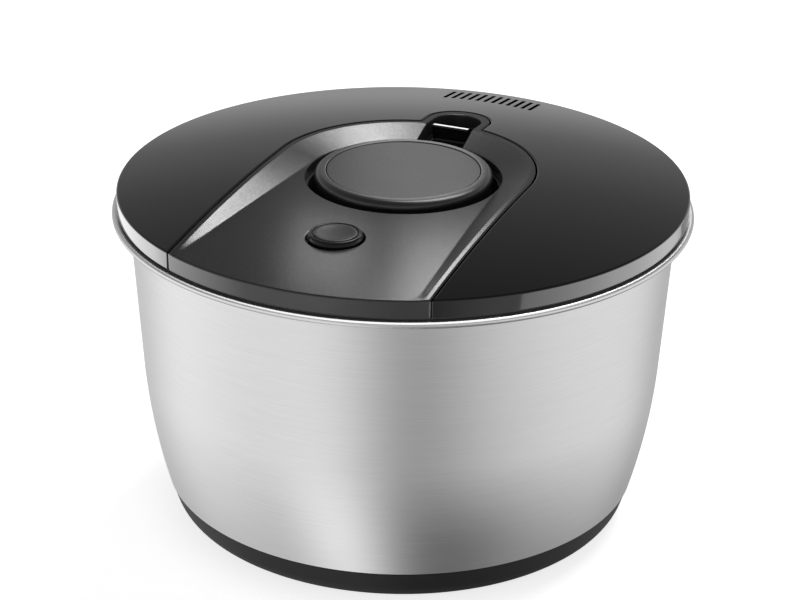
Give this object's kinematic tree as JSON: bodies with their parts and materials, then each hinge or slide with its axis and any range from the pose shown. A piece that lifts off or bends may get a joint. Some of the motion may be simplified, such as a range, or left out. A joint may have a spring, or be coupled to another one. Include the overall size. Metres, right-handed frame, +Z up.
{
  "type": "salad spinner",
  "caption": "Brushed steel bowl on a black base with a domed glossy lid, a pump knob held down by a latch, a brake button, vents, and a perforated basket that spins inside.",
  "frame": {"origin": "middle of the base, on the surface that the spinner stands on", "axes": "+Z up along the basket's axis; the brake button and the panel's open end are on the -Y side, the latch and the vents on the +Y side"},
  "size_m": [0.2646, 0.2646, 0.1657],
  "materials": {
    "bowl_steel": "fine horizontal brushing around the bowl",
    "base_black": "matte moulded",
    "rubber_black": "matte",
    "bright_steel": "plain bright steel",
    "bearing_plastic": "natural bearing plastic, satin",
    "basket_plastic": "satin moulded",
    "inner_plastic": "satin moulded",
    "lid_gloss": "high gloss",
    "panel_metallic": "satin with fine metallic flakes",
    "inlay_metallic": "satin with fine metallic flakes",
    "knob_black": "soft satin",
    "button_black": "semi gloss"
  },
  "bodies": {
    "bowl": {"steel_bowl": "bowl_steel", "base_shell": "base_black", "nonslip_foot": "rubber_black", "pivot_pin": "bright_steel"},
    "seat": {"pivot_cup": "bearing_plastic"},
    "basket": {"basket": "basket_plastic"},
    "lid": {"lid_cover": "lid_gloss", "top_panel": "panel_metallic", "lid_base": "inner_plastic", "lid_seal": "rubber_black", "lid_screws": "bright_steel", "hub_bush": "bearing_plastic", "return_spring": "bright_steel", "latch_spring": "bright_steel", "brake_spring": "bright_steel"},
    "drive": {"drive_plate": "inner_plastic", "ratchet_ring": "bright_steel", "hub_cap": "bearing_plastic", "hub_clip": "bright_steel"},
    "clutch": {"clutch_nut": "bearing_plastic", "clutch_pawls": "bright_steel"},
    "knob": {"knob_skirt": "knob_black", "knob_cap": "knob_black", "knob_inlay": "inlay_metallic", "spindle": "bright_steel", "spindle_screw": "bright_steel"},
    "latch": {"latch_slider": "lid_gloss"},
    "button": {"brake_button": "button_black", "button_inlay": "inlay_metallic", "brake_plunger": "bearing_plastic", "brake_shoe": "rubber_black"}
  },
  "joints": [
    {"name": "basket_lift", "type": "slide", "parent": "bowl", "child": "seat", "axis": [0, 0, 1], "range_m": [0, 0.16]},
    {"name": "basket_spin", "type": "hinge", "parent": "seat", "child": "basket", "pos_m": [0, 0, 0.024], "axis": [0, 0, 1], "continuous": true},
    {"name": "lid_lift", "type": "slide", "parent": "seat", "child": "lid", "axis": [0, 0, 1], "range_m": [0, 0.09]},
    {"name": "drive_spin", "type": "hinge", "parent": "lid", "child": "drive", "pos_m": [0, 0, 0.12], "axis": [0, 0, 1], "continuous": true},
    {"name": "knob_pump", "type": "slide", "parent": "lid", "child": "knob", "axis": [0, 0, 1], "range_m": [0, 0.03], "deforming": ["return_spring"]},
    {"name": "clutch_spin", "type": "hinge", "parent": "lid", "child": "clutch", "pos_m": [0, 0, 0.118], "axis": [0, 0, 1], "range_deg": [0, 540]},
    {"name": "latch_slide", "type": "slide", "parent": "lid", "child": "latch", "axis": [0, 1, 0], "range_m": [0, 0.006], "stiffness_N_per_m": 300, "springref_m": -0.002, "deforming": ["latch_spring"]},
    {"name": "brake_press", "type": "slide", "parent": "lid", "child": "button", "axis": [0, 0, -1], "range_m": [0, 0.0033], "stiffness_N_per_m": 500, "springref_m": -0.0015, "deforming": ["brake_spring"]}
  ],
  "couplings": [
    {"joint": "drive_spin", "follows": "basket_spin", "ratio": 1},
    {"joint": "clutch_spin", "follows": "knob_pump", "rad_per_m": 314.16}
  ]
}
